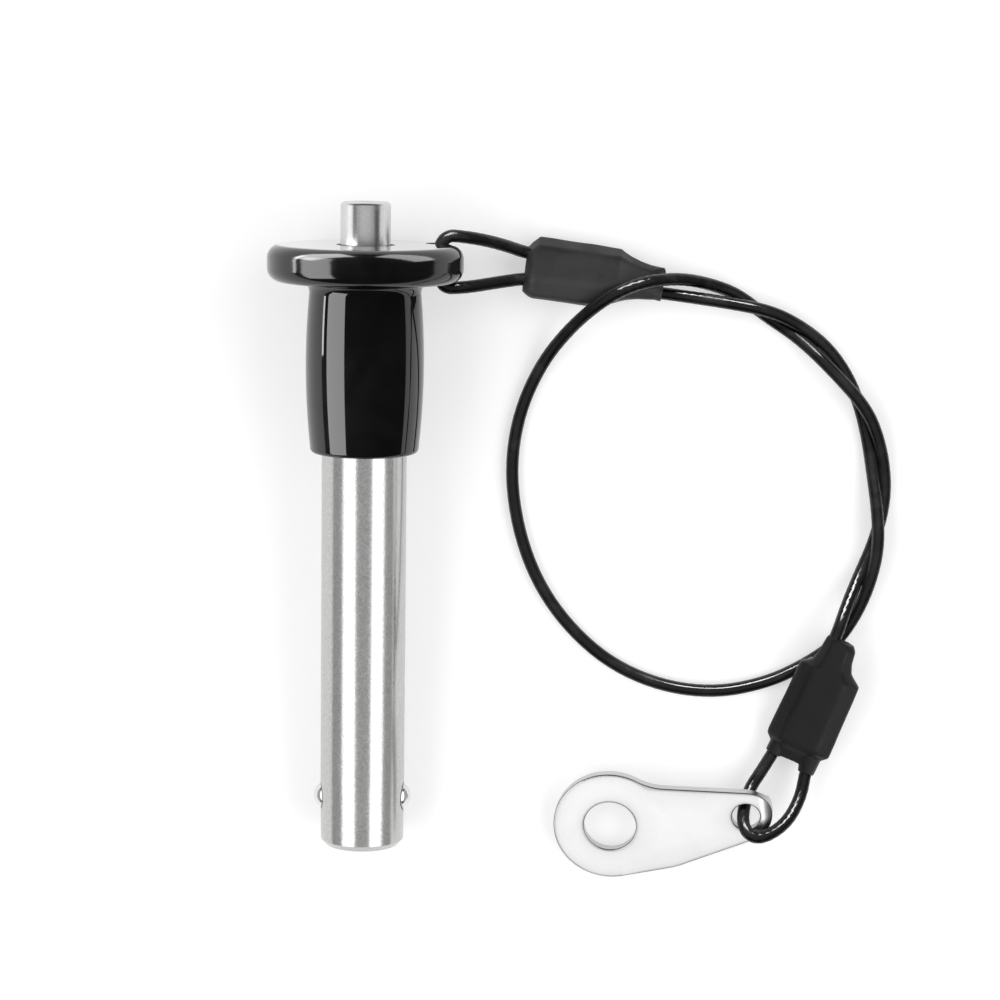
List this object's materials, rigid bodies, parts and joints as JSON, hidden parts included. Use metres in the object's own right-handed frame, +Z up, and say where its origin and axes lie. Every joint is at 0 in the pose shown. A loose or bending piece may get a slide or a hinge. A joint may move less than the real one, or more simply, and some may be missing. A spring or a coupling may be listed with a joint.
{
  "type": "ball lock pin",
  "caption": "Quick-release ball lock pin with a flanged push-button handle, and a wire lanyard that loops to a fixing tab.",
  "frame": {"origin": "centre of the pin's footprint, on the surface it lies on", "axes": "+Z up, +Y along the pin from its tip toward its button, +X toward the lanyard"},
  "size_m": [0.0711, 0.0771, 0.0219],
  "materials": {
    "handle_black": "gloss black anodised",
    "pin_steel": "fine ground stainless",
    "button_steel": "turned stainless",
    "spring_steel": "drawn wire",
    "ball_steel": "polished",
    "cord_jacket": "smooth jacket over twisted wire",
    "ferrule_metal": "pressed",
    "shrink_tube": "matte heat-shrink tubing",
    "tab_steel": "tumbled stainless"
  },
  "bodies": {
    "pin": {"handle": "handle_black", "shank": "pin_steel", "return_spring": "spring_steel", "lanyard_cord": "cord_jacket", "near_crimp_ferrule": "ferrule_metal", "far_crimp_ferrule": "ferrule_metal", "near_shrink_cover": "shrink_tube", "far_shrink_cover": "shrink_tube"},
    "plunger": {"spindle": "pin_steel", "button": "button_steel"},
    "left_ball": {"ball_left": "ball_steel"},
    "right_ball": {"ball_right": "ball_steel"},
    "tab": {"fixing_tab": "tab_steel"}
  },
  "joints": [
    {"name": "button_press", "type": "slide", "parent": "pin", "child": "plunger", "axis": [0, -0.9954, -0.0953], "range_m": [0, 0.003], "stiffness_N_per_m": 1100, "springref_m": -0.004, "deforming": ["return_spring"]},
    {"name": "left_ball_travel", "type": "slide", "parent": "pin", "child": "left_ball", "axis": [1, 0, 0], "range_m": [0, 0.0008]},
    {"name": "right_ball_travel", "type": "slide", "parent": "pin", "child": "right_ball", "axis": [-1, 0, 0], "range_m": [0, 0.0008]},
    {"name": "tab_swing", "type": "hinge", "parent": "pin", "child": "tab", "pos_m": [0.04384, -0.03252, 0.00464], "axis": [0, 0, 1], "range_deg": [-20, 20]}
  ],
  "couplings": [
    {"joint": "left_ball_travel", "follows": "button_press", "ratio": 0.26666},
    {"joint": "right_ball_travel", "follows": "button_press", "ratio": 0.26666}
  ]
}
